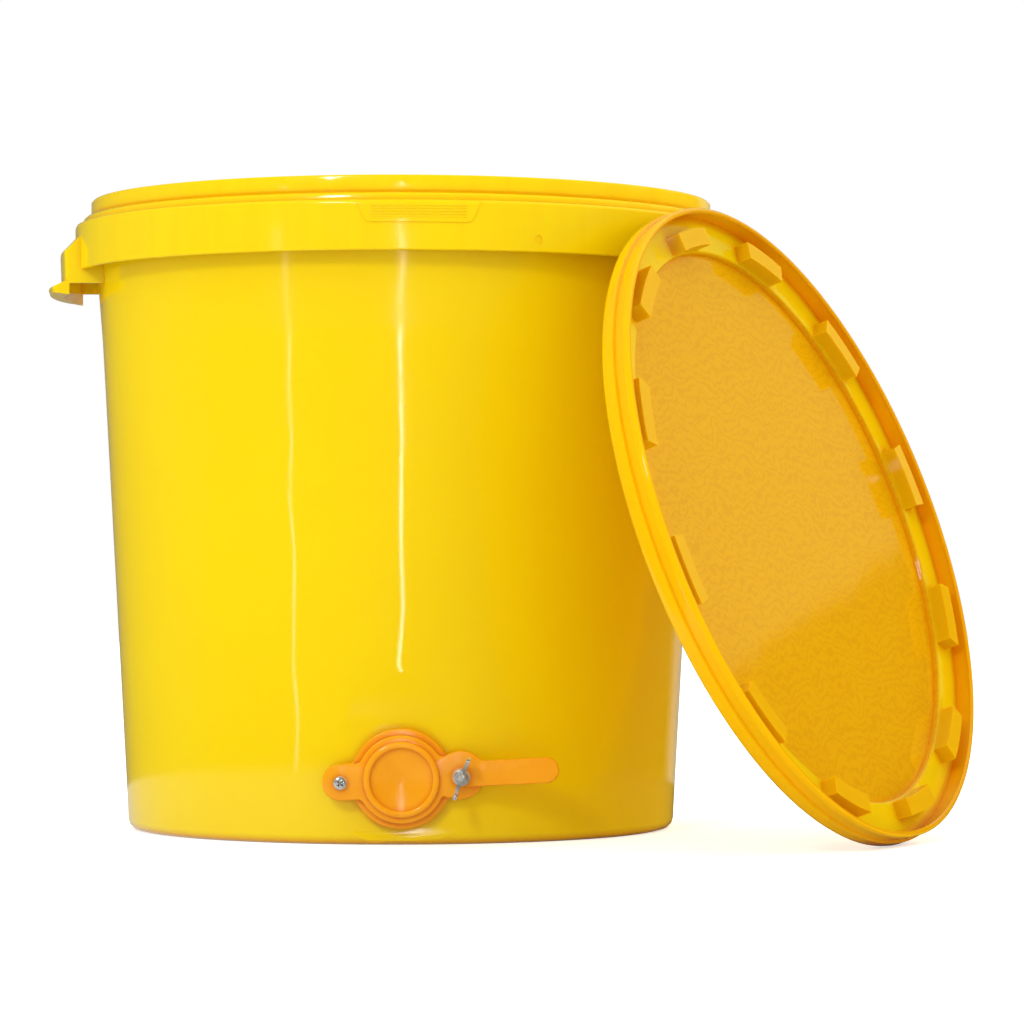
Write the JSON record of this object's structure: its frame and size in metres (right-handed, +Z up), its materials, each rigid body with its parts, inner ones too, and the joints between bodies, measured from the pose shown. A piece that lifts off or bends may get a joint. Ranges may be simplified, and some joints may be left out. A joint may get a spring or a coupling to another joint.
{
  "type": "bottling bucket",
  "caption": "Tapered round bucket with a collar and finger grips, a swinging outlet gate low on its front, and its flat lid leaning against its side.",
  "frame": {"origin": "on the bucket's axis, at the floor it stands on", "axes": "+Z up along the bucket's axis, -Y towards the gate, lid on the +X side"},
  "size_m": [0.5566, 0.514, 0.377],
  "materials": {
    "yellow_bucket": "glossy moulded polyethylene, slightly translucent",
    "yellow_lid": "glossy moulded polyethylene, slightly translucent",
    "orange_gate": "glossy moulded plastic",
    "gasket_rubber": "matt pale silicone rubber",
    "bright_steel": "bright stainless steel"
  },
  "bodies": {
    "root": {"pail_body": "yellow_bucket", "lid": "yellow_lid", "outer_gasket": "gasket_rubber", "gate_body": "orange_gate", "inner_gasket": "gasket_rubber", "back_nut": "orange_gate", "pivot_screw": "bright_steel", "pivot_nut": "bright_steel", "clamp_bolt": "bright_steel"},
    "flap": {"gate_flap": "orange_gate", "flap_seal": "gasket_rubber"},
    "washer": {"clamp_washer": "bright_steel"},
    "nut": {"wing_nut": "bright_steel"}
  },
  "joints": [
    {"name": "flap_swing", "type": "hinge", "parent": "root", "child": "flap", "pos_m": [-0.03436, -0.1699, 0.03596], "axis": [0, -0.9985, -0.0553], "range_deg": [0, 180]},
    {"name": "washer_slide", "type": "slide", "parent": "root", "child": "washer", "axis": [0, -0.9985, -0.0553], "range_m": [0, 0.0022]},
    {"name": "wing_nut_turn", "type": "hinge", "parent": "washer", "child": "nut", "pos_m": [0.03366, -0.17468, 0.03902], "axis": [0, -0.9985, -0.0553], "range_deg": [0, 990]}
  ],
  "couplings": [
    {"joint": "wing_nut_turn", "follows": "washer_slide", "rad_per_m": 7854}
  ]
}
